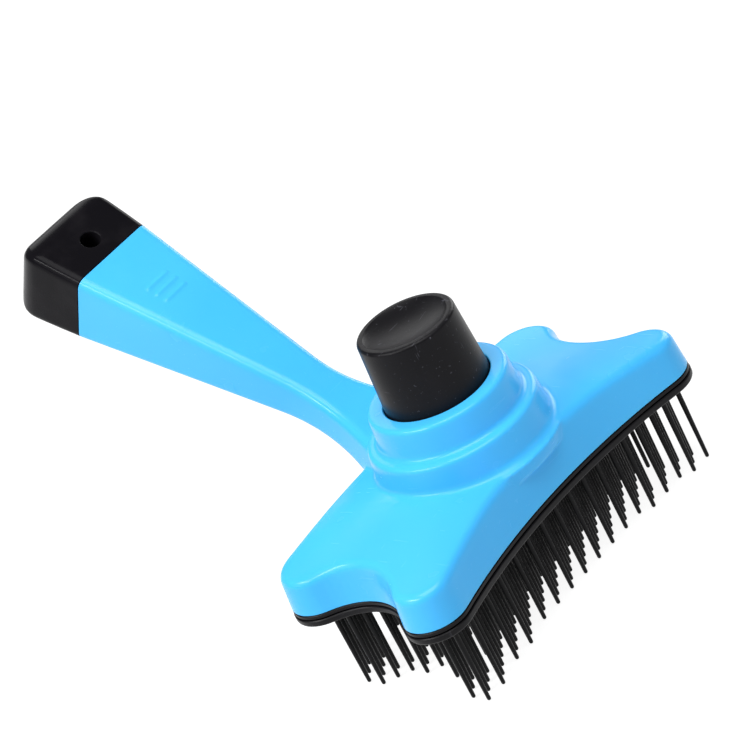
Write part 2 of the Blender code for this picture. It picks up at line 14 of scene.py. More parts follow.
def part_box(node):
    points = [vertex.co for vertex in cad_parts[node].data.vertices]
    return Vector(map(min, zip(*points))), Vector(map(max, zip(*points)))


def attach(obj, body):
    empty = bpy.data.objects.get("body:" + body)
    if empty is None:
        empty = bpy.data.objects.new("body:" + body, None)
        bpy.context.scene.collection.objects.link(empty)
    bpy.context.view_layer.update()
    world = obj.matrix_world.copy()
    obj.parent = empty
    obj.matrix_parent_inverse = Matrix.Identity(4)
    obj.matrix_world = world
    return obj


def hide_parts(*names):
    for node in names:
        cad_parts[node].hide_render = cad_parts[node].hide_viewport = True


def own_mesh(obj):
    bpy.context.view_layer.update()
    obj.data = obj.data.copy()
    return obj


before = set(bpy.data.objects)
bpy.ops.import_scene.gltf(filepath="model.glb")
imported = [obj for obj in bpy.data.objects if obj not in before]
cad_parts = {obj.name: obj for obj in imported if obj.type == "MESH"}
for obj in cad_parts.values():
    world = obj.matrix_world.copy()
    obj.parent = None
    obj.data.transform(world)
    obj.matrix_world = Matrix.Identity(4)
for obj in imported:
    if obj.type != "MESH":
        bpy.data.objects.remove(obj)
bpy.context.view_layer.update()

MM = 0.001
GAP = 0.3
BRUSH = "brush"
EJECTOR = "ejector"


def cad_place():
    """Where the head's frame stands in the CAD model, in metres."""
    low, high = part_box("push_button")
    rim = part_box("body_shell")[0].z
    return Vector(((low.x + high.x) / 2, (low.y + high.y) / 2, rim))


PLACE = cad_place()

# Head outline
HEAD_HALF_WIDTH = 53.1
FRONT_LOBE_R = 8.4
REAR_LOBE_R = 9.0
FRONT_LOBE = (HEAD_HALF_WIDTH - FRONT_LOBE_R, -20.8)
REAR_LOBE = (HEAD_HALF_WIDTH - REAR_LOBE_R - 0.8, 17.5)
WAIST_R = 17.5
FACET_SLACK = 0.06
FRONT_Y = -23.1
REAR_Y = REAR_LOBE[1] + REAR_LOBE_R
HEAD_HALF_DEPTH = (REAR_Y - FRONT_Y) / 2

# Head shell and collar
WALL = 2.0
WALL_DRAFT = 0.08
EDGE_Z_END = 8.7
EDGE_Z_MID = 12.0
EDGE_ROUND = 2.4
CROWN_Z = 13.8
CROWN_BAR = 24.0
BOSS_R = 3.0
LOWER_STEP_R = 21.9
LOWER_STEP_Z = 20.8
UPPER_STEP_R = 18.1
UPPER_STEP_Z = 29.1
STEP_DRAFT = 0.06
STEP_ROUND = 1.1
COLLAR_ROOF = 2.6
COLLAR_LIP_R = 0.4
FOOT_FILLET = 2.6
STEP_FILLET = 1.2
SHELL_VOXEL = 0.45
SHELL_SOFTENING = 7

# Handle and cap
HANDLE_TILT = math.radians(34.5)
HANDLE_ROOT = (16.6, 12.0)
HANDLE_LENGTH = 94.5
ROOT_HALF_WIDTH = 2.2
SEAM_HALF_WIDTH = 13.1
ROOT_THICKNESS = 7.1
SEAM_THICKNESS = 21.8
HANDLE_ROUND = 2.2
FLARE_LENGTH = 36.0
FLARE = 0.0097
LIFT_LENGTH = 32.0
LIFT = 0.005
CORE_LENGTH = 46.0
CAP_LENGTH = 20.3
CAP_RAKE = 1.2
CAP_WALL = 2.0
CAP_FLARE = 1.1
CAP_CORNER_R = 7.5
CAP_TOP_R = 8.0
CAP_BOTTOM_R = 4.2
PLUG_LENGTH = 10.0
HANG_HOLE_R = 2.6
HANG_HOLE_FROM_SEAM = 6.9
HANG_TUBE_WALL = 1.5
HANG_HOLE_LIP_R = 0.3
CAP_VOXEL = 0.4
CAP_SOFTENING = 8

# Three faint raised bars on the handle
MARK_ALONG = 77.0
MARK_STEP = 2.9
MARK_HALF_LENGTH = 3.4
MARK_HALF_WIDTH = 0.9
MARK_HEIGHT = 0.22

# Button, plunger and spring
BUTTON_TOP_R = 12.5
BUTTON_BASE_R = 13.5
BUTTON_TOP_Z = 47.4
BUTTON_WALL = 2.2
BUTTON_DISH = 1.9
BUTTON_EDGE_R = 0.9
FLANGE_R = 15.1
FLANGE_THICK = 2.2
BROKEN_EDGE = 0.3
BUTTON_BOSS_R = 3.0
BUTTON_BOSS_LENGTH = 6.6
PLUNGER_R = 10.0
PLUNGER_THICK = 2.2
LEG_R = 1.9
WIRE_R = 0.55
SPRING_R = PLUNGER_R - WIRE_R - GAP / 2
SPRING_TURNS = 7
FLAT_TURN = 0.7
LEG_CIRCLE_R = SPRING_R - WIRE_R - GAP - LEG_R
LEG_TURN = math.radians(24.5)

# Plates and pins
PIN_PITCH = 5.7
ROW_PITCH = 2.5
PIN_ROW_Y = -19.4
PIN_R = 0.66
PIN_TIP_R = 0.5
PIN_HOLE_R = 0.9
PIN_REACH = 25.5
PIN_MARGIN = 2.8
PIN_END_MARGIN = 7.2
PIN_HOLLOW_R = 16.4
PIN_HOLLOW_OUT = 2.9
PIN_HOLLOW_Y = -3.9
PIN_CORNER_CUT = 16.1
PIN_WEB = 0.4
CAD_PIN_HALF = 0.5
PIN_CLEAR = PIN_WEB + math.sqrt(2) * CAD_PIN_HALF
PIN_TAPER_FROM = 8.0
PIN_ROOT = 0.2
LIP_TOP = -GAP
LIP_THICK = 1.0
LIP_BOTTOM = LIP_TOP - LIP_THICK
PLATE_HEIGHT = 2.7
CUP_WALL = 1.0
CUP_HEIGHT = 2.0
EJECTOR_TOP = LIP_BOTTOM - GAP
EJECTOR_THICK = 1.8
EJECTOR_BOTTOM = EJECTOR_TOP - EJECTOR_THICK
EJECTOR_PROUD = 0.2
EJECTOR_ROUND = 0.6
EJECTOR_TOP_EDGE = 0.2
PIN_PLATE_EDGE = 0.15

# Screws
PLATE_SCREW = {"shank": 1.1, "head": 2.2, "head_height": 1.1, "length": 8.0}
EJECTOR_SCREW = {"shank": 0.75, "head": 1.8, "head_height": 0.8, "length": 7.0}
BUTTON_SCREW = {"shank": 0.9, "head": 2.0, "head_height": 1.2, "length": 6.4}
PLATE_SCREW_FROM_END = 18.3
PLATE_SCREW_Y = 13.25

FLANGE_TOP = UPPER_STEP_Z - COLLAR_ROOF - GAP
FLANGE_BOTTOM = FLANGE_TOP - FLANGE_THICK
BUTTON_CEILING = BUTTON_TOP_Z - BUTTON_DISH - BUTTON_WALL
PLUNGER_TOP = BUTTON_CEILING - BUTTON_BOSS_LENGTH - GAP
PLUNGER_BOTTOM = PLUNGER_TOP - PLUNGER_THICK


# Camera and studio

CAMERA_PLACE = (-452.964, -597.928, 403.406)
CAMERA_AZIMUTH = math.radians(36.2362)
CAMERA_ELEVATION = math.radians(25.8083)
CAMERA_ROLL = math.radians(-27.3121)
CAMERA_LENS = 173.63
CAMERA_SENSOR = 36.0


def make_camera():
    """A long lens, in front of the head's left end and above it, rolled to the left."""
    level = math.cos(CAMERA_ELEVATION)
    forward = Vector((math.sin(CAMERA_AZIMUTH) * level, math.cos(CAMERA_AZIMUTH) * level,
                      -math.sin(CAMERA_ELEVATION)))
    level_right = forward.cross(Vector((0, 0, 1))).normalized()
    level_down = forward.cross(level_right)
    right = level_right * math.cos(CAMERA_ROLL) - level_down * math.sin(CAMERA_ROLL)
    down = level_right * math.sin(CAMERA_ROLL) + level_down * math.cos(CAMERA_ROLL)
    lens = bpy.data.cameras.new("camera")
    lens.lens = CAMERA_LENS
    lens.sensor_width = CAMERA_SENSOR
    lens.clip_start = 0.05
    lens.clip_end = 20.0
    camera = bpy.data.objects.new("camera", lens)
    bpy.context.scene.collection.objects.link(camera)
    place = PLACE + Vector(CAMERA_PLACE) * MM
    camera.matrix_world = Matrix.Translation(place) @ Matrix(
        (right, -down, -forward)).transposed().to_4x4()
    bpy.context.scene.camera = camera


def area_light(name, place, target, width, height, power, colour=(1, 1, 1)):
    lamp = bpy.data.lights.new(name, "AREA")
    lamp.shape = "RECTANGLE"
    lamp.size = width
    lamp.size_y = height
    lamp.energy = power
    lamp.color = colour
    made = bpy.data.objects.new(name, lamp)
    bpy.context.scene.collection.objects.link(made)
    made.location = place
    made.rotation_euler = (Vector(target) - Vector(place)).to_track_quat("-Z", "Y").to_euler()


def make_studio():
    """Softboxes left, right, behind and overhead, with little light from the front, over a bright floor."""
    bpy.context.scene.view_settings.view_transform = "Standard"
    world = bpy.data.worlds.new("studio")
    world.use_nodes = True
    background = world.node_tree.nodes["Background"]
    background.inputs["Color"].default_value = (0.96, 0.98, 1.0, 1)
    background.inputs["Strength"].default_value = 0.16
    bpy.context.scene.world = world
    middle = (0.0, 0.0, 0.04)
    area_light("left_box", (-0.62, 0.12, 0.42), middle, 0.5, 0.5, 1.1)
    area_light("left_strip", (-0.60, 0.10, 0.62), middle, 0.5, 0.04, 4.0)
    area_light("right_box", (0.75, 0.20, 0.30), middle, 0.4, 0.4, 2.2)
    area_light("right_front", (0.55, -0.70, 0.35), middle, 0.4, 0.4, 0.3)
    area_light("overhead", (-0.10, -0.20, 1.00), middle, 0.7, 0.7, 9.6)
    area_light("back_box", (0.62, 0.82, 0.50), middle, 0.5, 0.5, 1.1)
    bpy.ops.mesh.primitive_grid_add(x_subdivisions=4, y_subdivisions=4, size=12)
    floor = bpy.context.object
    floor.name = "floor"
    floor.location.z = -0.0002
    floor.data.materials.append(floor_material())


# Materials

def new_material(name, colour, roughness, metallic=0.0, specular=0.5, ior=1.5):
    """A Principled material, with its node tree and its shader to build on."""
    made = bpy.data.materials.new(name)
    made.use_nodes = True
    tree = made.node_tree
    shader = tree.nodes["Principled BSDF"]
    shader.inputs["Base Color"].default_value = (*colour, 1)
    shader.inputs["Roughness"].default_value = roughness
    shader.inputs["Metallic"].default_value = metallic
    shader.inputs["Specular IOR Level"].default_value = specular
    shader.inputs["IOR"].default_value = ior
    return made, tree, shader


def place_in(tree, stretch=(1, 1, 1)):
    """Coordinates fixed to the object, stretched for grain that runs one way."""
    where = tree.nodes.new("ShaderNodeTexCoord")
    mapping = tree.nodes.new("ShaderNodeMapping")
    mapping.inputs["Scale"].default_value = stretch
    tree.links.new(where.outputs["Object"], mapping.inputs["Vector"])
    return mapping.outputs["Vector"]


def noise(tree, scale, detail=2.0, rough=0.5, stretch=(1, 1, 1)):
    made = tree.nodes.new("ShaderNodeTexNoise")
    made.inputs["Scale"].default_value = scale
    made.inputs["Detail"].default_value = detail
    made.inputs["Roughness"].default_value = rough
    tree.links.new(place_in(tree, stretch), made.inputs["Vector"])
    return made.outputs["Fac"]


def ramp(tree, value, low, high, from_value=0.0, to_value=1.0):
    """The value between low and high, mapped to from_value up to to_value."""
    made = tree.nodes.new("ShaderNodeMapRange")
    made.inputs["From Min"].default_value = low
    made.inputs["From Max"].default_value = high
    made.inputs["To Min"].default_value = from_value
    made.inputs["To Max"].default_value = to_value
    tree.links.new(value, made.inputs["Value"])
    return made.outputs["Result"]


def combine_values(tree, operation, first, second):
    made = tree.nodes.new("ShaderNodeMath")
    made.operation = operation
    for socket, value in zip(made.inputs, (first, second)):
        if isinstance(value, (int, float)):
            socket.default_value = value
        else:
            tree.links.new(value, socket)
    return made.outputs["Value"]


def mix_colour(tree, share, first, second):
    made = tree.nodes.new("ShaderNodeMix")
    made.data_type = "RGBA"
    for socket, value in ((made.inputs[0], share), (made.inputs[6], first), (made.inputs[7], second)):
        if isinstance(value, tuple):
            socket.default_value = (*value, 1)
        else:
            tree.links.new(value, socket)
    return made.outputs[2]


def bump(tree, shader, height, distance, strength=1.0, below=None):
    made = tree.nodes.new("ShaderNodeBump")
    made.inputs["Distance"].default_value = distance
    made.inputs["Strength"].default_value = strength
    tree.links.new(height, made.inputs["Height"])
    if below is not None:
        tree.links.new(below, made.inputs["Normal"])
    tree.links.new(made.outputs["Normal"], shader.inputs["Normal"])
    return made.outputs["Normal"]


def floor_material():
    made, tree, shader = new_material("pale_floor", (0.18, 0.18, 0.18), 0.85, specular=0.1)
    shade = mix_colour(tree, ramp(tree, noise(tree, 3.0), 0.3, 0.7), (0.18, 0.18, 0.18), (0.19, 0.19, 0.19))
    tree.links.new(shade, shader.inputs["Base Color"])
    shader.inputs["Emission Color"].default_value = (1, 1, 1, 1)
    shader.inputs["Emission Strength"].default_value = 0.91
    return made


def hairlines(tree, scale, cut, stretches):
    """Fine scratches: thin bright threads where stretched noise peaks."""
    found = None
    for stretch in stretches:
        thread = ramp(tree, noise(tree, scale, 2.0, 0.6, stretch), cut, cut + 0.05)
        found = thread if found is None else combine_values(tree, "MAXIMUM", found, thread)
    return found


def blue_material():
    """Glossy moulded ABS: slow colour drift, a soft moulding ripple and faint handling marks."""
    made, tree, shader = new_material("sky_blue_plastic", (0.056, 0.45, 0.90), 0.24, specular=0.18)
    drift = ramp(tree, noise(tree, 26.0, 2.0), 0.3, 0.7)
    fine = ramp(tree, noise(tree, 420.0, 3.0), 0.35, 0.65)
    colour = mix_colour(tree, drift, (0.051, 0.433, 0.880), (0.061, 0.467, 0.920))
    tree.links.new(colour, shader.inputs["Base Color"])
    scratches = hairlines(tree, 160.0, 0.70, ((0.25, 6.0, 6.0), (5.0, 0.3, 5.0)))
    cloudy = ramp(tree, noise(tree, 90.0, 3.0), 0.35, 0.7, 0.19, 0.28)
    roughness = combine_values(tree, "ADD", cloudy, combine_values(tree, "MULTIPLY", scratches, 0.12))
    tree.links.new(roughness, shader.inputs["Roughness"])
    ripple = bump(tree, shader, noise(tree, 140.0, 1.0), 0.00012, 0.35)
    grain = bump(tree, shader, fine, 0.00002, 0.35, ripple)
    bump(tree, shader, combine_values(tree, "SUBTRACT", 1.0, scratches), 0.00001, 0.35, grain)
    shader.inputs["Subsurface Weight"].default_value = 0.12
    shader.inputs["Subsurface Radius"].default_value = (0.25, 0.8, 1.0)
    shader.inputs["Subsurface Scale"].default_value = 0.0025
    shader.inputs["Coat Weight"].default_value = 0.06
    shader.inputs["Coat Roughness"].default_value = 0.12
    return made


def black_gloss_material():
    """The cap: black with a soft sheen, a fine moulded grain and a few rubbed patches."""
    made, tree, shader = new_material("black_gloss_plastic", (0.006, 0.0055, 0.007), 0.20, specular=0.045)
    worn = ramp(tree, noise(tree, 120.0, 4.0), 0.5, 0.75)
    colour = mix_colour(tree, worn, (0.0050, 0.0046, 0.0060), (0.0085, 0.0078, 0.0095))
    tree.links.new(colour, shader.inputs["Base Color"])
    scratches = hairlines(tree, 220.0, 0.70, ((0.3, 5.0, 5.0), (4.0, 0.4, 4.0)))
    roughness = combine_values(tree, "ADD", ramp(tree, worn, 0, 1, 0.19, 0.27),
                               combine_values(tree, "MULTIPLY", scratches, 0.15))
    tree.links.new(roughness, shader.inputs["Roughness"])
    grain = bump(tree, shader, noise(tree, 1500.0, 2.0), 0.00002, 0.5)
    bump(tree, shader, noise(tree, 170.0, 1.0), 0.00008, 0.35, grain)
    return made


def satin_material(name, base, light, roughness, dust, grain_scale, specular):
    """Satin black plastic with moulded grain, fine scratches and specks of dust."""
    made, tree, shader = new_material(name, base, roughness, specular=specular)
    specks = ramp(tree, noise(tree, 900.0, 3.0, 0.6), 0.70 - dust, 0.76 - dust)
    clouds = ramp(tree, noise(tree, 110.0, 3.0), 0.45, 0.75)
    scratches = hairlines(tree, 260.0, 0.69, ((0.25, 5.0, 5.0), (5.0, 5.0, 0.3), (4.0, 0.4, 4.0)))
    marks = combine_values(tree, "MAXIMUM", combine_values(tree, "MULTIPLY", specks, clouds),
                           combine_values(tree, "MULTIPLY", scratches, 0.35))
    haze = mix_colour(tree, clouds, base, tuple(1.35 * c for c in base))
    tree.links.new(mix_colour(tree, marks, haze, light), shader.inputs["Base Color"])
    spread = ramp(tree, clouds, 0, 1, roughness - 0.04, roughness + 0.05)
    tree.links.new(combine_values(tree, "ADD", spread, combine_values(tree, "MULTIPLY", marks, 0.2)),
                   shader.inputs["Roughness"])
    grain = bump(tree, shader, noise(tree, grain_scale, 2.0), 0.00003, 0.4)
    bump(tree, shader, marks, 0.00003, 0.4, grain)
    return made


def steel_material():
    """Bright zinc: fine drawing lines and slightly blue-yellow patches."""
    made, tree, shader = new_material("zinc_plated_steel", (0.60, 0.61, 0.62), 0.28, metallic=1.0)
    patch = ramp(tree, noise(tree, 350.0, 3.0), 0.35, 0.7)
    colour = mix_colour(tree, patch, (0.58, 0.60, 0.63), (0.66, 0.65, 0.60))
    tree.links.new(colour, shader.inputs["Base Color"])
    lines = noise(tree, 500.0, 2.0, 0.6, (6.0, 6.0, 0.5))
    tree.links.new(ramp(tree, lines, 0.3, 0.7, 0.22, 0.38), shader.inputs["Roughness"])
    bump(tree, shader, lines, 0.00001, 0.4)
    return made


# Meshes

def new_object(name, points, faces):
    """An object from millimetre points in the head's frame, with its faces turned outwards."""
    mesh = bpy.data.meshes.new(name)
    mesh.from_pydata([PLACE + Vector(p) * MM for p in points], [], faces)
    shape = bmesh.new()
    shape.from_mesh(mesh)
    bmesh.ops.recalc_face_normals(shape, faces=shape.faces)
    shape.to_mesh(mesh)
    shape.free()
    made = bpy.data.objects.new(name, mesh)
    bpy.context.scene.collection.objects.link(made)
    return made


def apply_modifiers(made):
    bpy.context.view_layer.update()
    evaluated = made.evaluated_get(bpy.context.evaluated_depsgraph_get())
    result = bpy.data.meshes.new_from_object(evaluated)
    made.modifiers.clear()
    made.data = result


def combine(base, tools, operation):
    """Joins or cuts the base with each tool in turn, and removes the tools."""
    for tool in tools:
        step = base.modifiers.new(operation, "BOOLEAN")
        step.operation = operation
        step.solver = "EXACT"
        step.object = tool
        apply_modifiers(base)
        bpy.data.objects.remove(tool)
    return base


def merge(base, others):
    """Puts closed meshes that overlap into one object, without joining them."""
    shape = bmesh.new()
    for piece in [base] + others:
        shape.from_mesh(piece.data)
    shape.to_mesh(base.data)
    shape.free()
    for piece in others:
        bpy.data.objects.remove(piece)
    return base


def melt(made, voxel, passes):
    """Fuses a piece's closed meshes into one skin and softens every edge where they meet."""
    remesh = made.modifiers.new("remesh", "REMESH")
    remesh.mode = "VOXEL"
    remesh.voxel_size = voxel * MM
    remesh.adaptivity = 0.0
    soften = made.modifiers.new("soften", "SMOOTH")
    soften.factor = 0.5
    soften.iterations = passes
    apply_modifiers(made)
    return made


def slice_off(made, point, normal):
    """Cuts away what lies beyond a plane through a head-frame point, and closes the cut."""
    shape = bmesh.new()
    shape.from_mesh(made.data)
    geometry = shape.verts[:] + shape.edges[:] + shape.faces[:]
    cut = bmesh.ops.bisect_plane(shape, geom=geometry, dist=1e-7, plane_co=PLACE + Vector(point) * MM,
                                 plane_no=Vector(normal), clear_outer=True)
    edges = [e for e in cut["geom_cut"] if isinstance(e, bmesh.types.BMEdge)]
    bmesh.ops.holes_fill(shape, edges=edges, sides=0)
    bmesh.ops.recalc_face_normals(shape, faces=shape.faces)
    shape.to_mesh(made.data)
    shape.free()
    return made


def loft(name, rings):
    count = len(rings[0])
    points = [p for ring in rings for p in ring]
    faces = [list(range(count)), list(range(len(points) - count, len(points)))]
    for start in range(0, len(points) - count, count):
        for i in range(count):
            j = (i + 1) % count
            faces.append((start + i, start + j, start + count + j, start + count + i))
    return new_object(name, points, faces)


def lathe(name, profile, centre=(0.0, 0.0), segments=96):
    """Turns a profile of (radius, z) points about a vertical line, with flat ends off the axis."""
    x0, y0 = centre
    points = []
    rows = []
    for radius, z in profile:
        if radius == 0:
            rows.append([len(points)] * segments)
            points.append((x0, y0, z))
            continue
        rows.append(list(range(len(points), len(points) + segments)))
        for i in range(segments):
            angle = math.tau * (i + 0.5) / segments
            points.append((x0 + radius * math.cos(angle), y0 + radius * math.sin(angle), z))
    faces = [row for row, (radius, z) in ((rows[0], profile[0]), (rows[-1], profile[-1])) if radius]
    for low, high in zip(rows, rows[1:]):
        for i in range(segments):
            j = (i + 1) % segments
            faces.append(list(dict.fromkeys((low[i], low[j], high[j], high[i]))))
    return new_object(name, points, faces)


def cylinder(name, centre, radius, low, high, segments=48):
    return lathe(name, [(radius, low), (radius, high)], centre, segments)


def round_edge(centre_r, centre_z, radius, start, end, steps=5):
    """Profile points round an edge, from one angle to another in degrees."""
    turns = [math.radians(start + (end - start) * i / steps) for i in range(steps + 1)]
    return [(centre_r + radius * math.cos(t), centre_z + radius * math.sin(t)) for t in turns]


def show(made, body, surface, nodes, smooth_angle=35.0):
    """Finishes a piece: its material, its shading, the body it rides on and the nodes it replaces."""
    made.data.materials.clear()
    made.data.materials.append(surface)
    made.data.shade_smooth()
    made.data.set_sharp_from_angle(angle=math.radians(smooth_angle))
    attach(made, body)
    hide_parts(*nodes)
    return made


# Head outline

def arc(centre, radius, start, end, steps):
    turn = (end - start) / steps
    return [(centre[0] + radius * math.cos(start + turn * i),
             centre[1] + radius * math.sin(start + turn * i)) for i in range(steps)]


def angle_of(start, end):
    return math.atan2(end[1] - start[1], end[0] - start[0])


def waist_centre():
    front = Vector(FRONT_LOBE)
    rear = Vector(REAR_LOBE)
    apart = (rear - front).length
    near = FRONT_LOBE_R + WAIST_R
    far = REAR_LOBE_R + WAIST_R
    along = (apart ** 2 + near ** 2 - far ** 2) / (2 * apart)
    aside = math.sqrt(near ** 2 - along ** 2)
    direction = (rear - front).normalized()
    return front + direction * along + Vector((direction.y, -direction.x)) * aside


def outline(inset, fine=3):
    """The head's outline offset inwards, with that many times the points that the CAD has.

    The slack keeps the smooth arcs inside the CAD's faceted ones.
    """
    inset += FACET_SLACK
    lobe_x, lobe_y = FRONT_LOBE
    rise = lobe_y - FRONT_Y
    front_r = (lobe_x ** 2 + rise ** 2 - FRONT_LOBE_R ** 2) / (2 * (FRONT_LOBE_R - rise))
    front_centre = (0.0, FRONT_Y - front_r)
    waist = waist_centre()
    to_front_lobe = angle_of(front_centre, FRONT_LOBE)
    front_to_waist = angle_of(FRONT_LOBE, waist)
    rear_to_waist = angle_of(REAR_LOBE, waist)
    side = arc(front_centre, front_r + inset, math.pi / 2, to_front_lobe, 4 * fine)
    side += arc(FRONT_LOBE, FRONT_LOBE_R - inset, to_front_lobe - math.pi, front_to_waist, 7 * fine)
    side += arc(waist, WAIST_R + inset, front_to_waist + math.pi, rear_to_waist + math.pi, 5 * fine)
    side += arc(REAR_LOBE, REAR_LOBE_R - inset, rear_to_waist, math.pi / 2, 6 * fine)
    rear_y = REAR_LOBE[1] + REAR_LOBE_R - inset
    side += [(REAR_LOBE[0] * share, rear_y) for share in (1.0, 0.8, 0.6, 0.4, 0.2)]
    return side + [(0.0, rear_y)] + [(-x, y) for x, y in reversed(side[1:])]


def at(height, ring):
    return [(x, y, height) for x, y in ring]


def inside(ring, x, y):
    odd = False
    for (ax, ay), (bx, by) in zip(ring, ring[1:] + ring[:1]):
        if (ay > y) != (by > y) and x < ax + (y - ay) * (bx - ax) / (by - ay):
            odd = not odd
    return odd


def edge_z(x):
    reach = FRONT_LOBE[0] + FRONT_LOBE_R
    return EDGE_Z_END + (EDGE_Z_MID - EDGE_Z_END) * (1 - (x / reach) ** 2)


def top_z(x, y):
    """Height of the head's top, which slopes to the ends and dips towards the front and the rear."""
    beyond = max(abs(x) - CROWN_BAR, 0) / (HEAD_HALF_WIDTH - CROWN_BAR)
    ridge = CROWN_Z - (CROWN_Z - EDGE_Z_END) * beyond
    return ridge - (ridge - edge_z(x)) * (y / HEAD_HALF_DEPTH) ** 2


def head_solid(name, inset, drop, bottom):
    """The domed head, made smaller by the inset and the drop to give its own hollow."""
    lean = inset + WALL_DRAFT * EDGE_Z_END
    rings = [at(bottom, outline(inset)), at(0, outline(inset))]
    edge = [(x, y, top_z(x, y) - drop) for x, y in outline(lean + EDGE_ROUND)]
    for turn in range(0, 81, 10):
        angle = math.radians(turn)
        ring = outline(lean + EDGE_ROUND * (1 - math.cos(angle)))
        fall = EDGE_ROUND * (1 - math.sin(angle))
        rings.append([(x, y, z - fall) for (x, y), (_, _, z) in zip(ring, edge)])
    rings.append(edge)
    for share in (0.1, 0.2, 0.3, 0.42, 0.54, 0.66, 0.78, 0.9, 0.97):
        ring = []
        for x, y, _ in edge:
            bar_x = max(-CROWN_BAR, min(CROWN_BAR, x))
            now = (x + (bar_x - x) * share, y * (1 - share))
            ring.append((*now, top_z(*now) - drop))
        rings.append(ring)
    rings[-1] = at(CROWN_Z - drop, [(x, y) for x, y, _ in rings[-1]])
    return loft(name, rings)


def collar_solid():
    def step(radius, top, foot, fillet):
        wide = radius + STEP_DRAFT * (top - foot)
        drawn = round_edge(wide + fillet, foot + fillet, fillet, 270, 180)
        return drawn + round_edge(radius - STEP_ROUND, top - STEP_ROUND, STEP_ROUND, 0, 90)
    profile = [(LOWER_STEP_R - WALL, EDGE_Z_END), (LOWER_STEP_R + FOOT_FILLET, EDGE_Z_END)]
    profile += step(LOWER_STEP_R, LOWER_STEP_Z, EDGE_Z_MID, FOOT_FILLET)
    profile += step(UPPER_STEP_R, UPPER_STEP_Z, LOWER_STEP_Z, STEP_FILLET)
    return lathe("collar", profile)


# Handle

def handle_frame(along):
    y, z = HANDLE_ROOT
    up = Vector((0, -math.sin(HANDLE_TILT), math.cos(HANDLE_TILT)))
    top = Vector((0, y + along * math.cos(HANDLE_TILT), z + along * math.sin(HANDLE_TILT)))
    return top, up


FORWARD = Vector((0, math.cos(HANDLE_TILT), math.sin(HANDLE_TILT)))


def handle_section(along, half_width, top, thickness, corner):
    """A rounded rectangle square to the handle, its top face raised by top."""
    origin, up = handle_frame(along)
    corner = min(corner, half_width * 0.95, thickness * 0.45)
    ring = []
    for side_x, side_n, start in ((1, 0, 0), (-1, 0, 90), (-1, -1, 180), (1, -1, 270)):
        centre_x = side_x * (half_width - corner)
        centre_n = top - corner if side_n == 0 else top - thickness + corner
        for turn in range(0, 91, 15):
            angle = math.radians(start + turn)
            across = centre_x + corner * math.cos(angle)
            ring.append(origin + up * (centre_n + corner * math.sin(angle)) + Vector((across, 0, 0)))
    return ring


def handle_size(along):
    share = along / HANDLE_LENGTH
    half_width = ROOT_HALF_WIDTH + (SEAM_HALF_WIDTH - ROOT_HALF_WIDTH) * share
    thickness = ROOT_THICKNESS + (SEAM_THICKNESS - ROOT_THICKNESS) * share
    return half_width, thickness


def handle_solid(past_seam):
    rings = []
    stations = [FLARE_LENGTH * i / 24 for i in range(25)]
    stations += [FLARE_LENGTH + (HANDLE_LENGTH + past_seam - FLARE_LENGTH) * i / 8 for i in range(1, 9)]
    for along in stations:
        half_width, thickness = handle_size(along)
        half_width += FLARE * max(FLARE_LENGTH - along, 0) ** 2
        lift = LIFT * max(LIFT_LENGTH - along, 0) ** 2
        rings.append(handle_section(along, half_width, lift, thickness + lift, HANDLE_ROUND))
    return loft("handle", rings)


def handle_core(name, start, end, inset):
    rings = []
    for along in (start, end):
        half_width, thickness = handle_size(along)
        rings.append(handle_section(along, half_width - inset, -inset, thickness - 2 * inset,
                                    HANDLE_ROUND - 1))
    return loft(name, rings)


def raise_marks(made):
    """Swells three short bars out of the handle's top face."""
    origin, up = handle_frame(0)
    for vertex in made.data.vertices:
        point = (vertex.co - PLACE) / MM - origin
        along = point.dot(FORWARD)
        if abs(point.dot(up)) > 1 or abs(along - MARK_ALONG) > 2 * MARK_STEP:
            continue
        number = round((along - MARK_ALONG) / MARK_STEP)
        if abs(number) > 1:
            continue
        beside = along - MARK_ALONG - number * MARK_STEP
        beyond = max(abs(point.x) - MARK_HALF_LENGTH, 0)
        distance = math.hypot(beside, beyond) / MARK_HALF_WIDTH
        if distance < 1:
            vertex.co += up * (MARK_HEIGHT * MM * (1 - distance ** 2) ** 2)


# Places of screws, legs and pins

def four_places(x, y):
    return [(side_x * x, side_y * y) for side_x in (-1, 1) for side_y in (-1, 1)]


def plate_screw_places():
    return four_places(HEAD_HALF_WIDTH - PLATE_SCREW_FROM_END, PLATE_SCREW_Y)


def leg_places():
    return four_places(LEG_CIRCLE_R * math.cos(LEG_TURN), LEG_CIRCLE_R * math.sin(LEG_TURN))


def pin_places():
    """Every place of the grid that lies in the field and clear of the screws and legs."""
    field = outline(PIN_MARGIN, 1)
    holes = [(p, PLATE_SCREW["head"] + GAP + PIN_CLEAR) for p in plate_screw_places()]
    holes += [(p, LEG_R + GAP + PIN_CLEAR) for p in leg_places()]
    hollow = (HEAD_HALF_WIDTH + PIN_HOLLOW_OUT, PIN_HOLLOW_Y)
    reach_x = int(HEAD_HALF_WIDTH / (PIN_PITCH / 2))
    front_rows = int((PIN_ROW_Y - FRONT_LOBE[1] + FRONT_LOBE_R) / ROW_PITCH)
    rear_rows = int((REAR_Y - PIN_ROW_Y) / ROW_PITCH)
    places = []
    for row in range(-front_rows, rear_rows + 1):
        for column in range(-reach_x, reach_x + 1):
            x = column * PIN_PITCH / 2
            y = PIN_ROW_Y + row * ROW_PITCH
            in_field = abs(x) < HEAD_HALF_WIDTH - PIN_END_MARGIN and inside(field, x, y)
            in_field = in_field and math.dist((abs(x), y), hollow) > PIN_HOLLOW_R
            in_field = in_field and abs(x) + y < HEAD_HALF_WIDTH + REAR_Y - PIN_CORNER_CUT
            clear = all(math.dist((x, y), p) > distance for p, distance in holes)
            if (row + column) % 2 == 0 and in_field and clear:
                places.append((x, y))
    return places


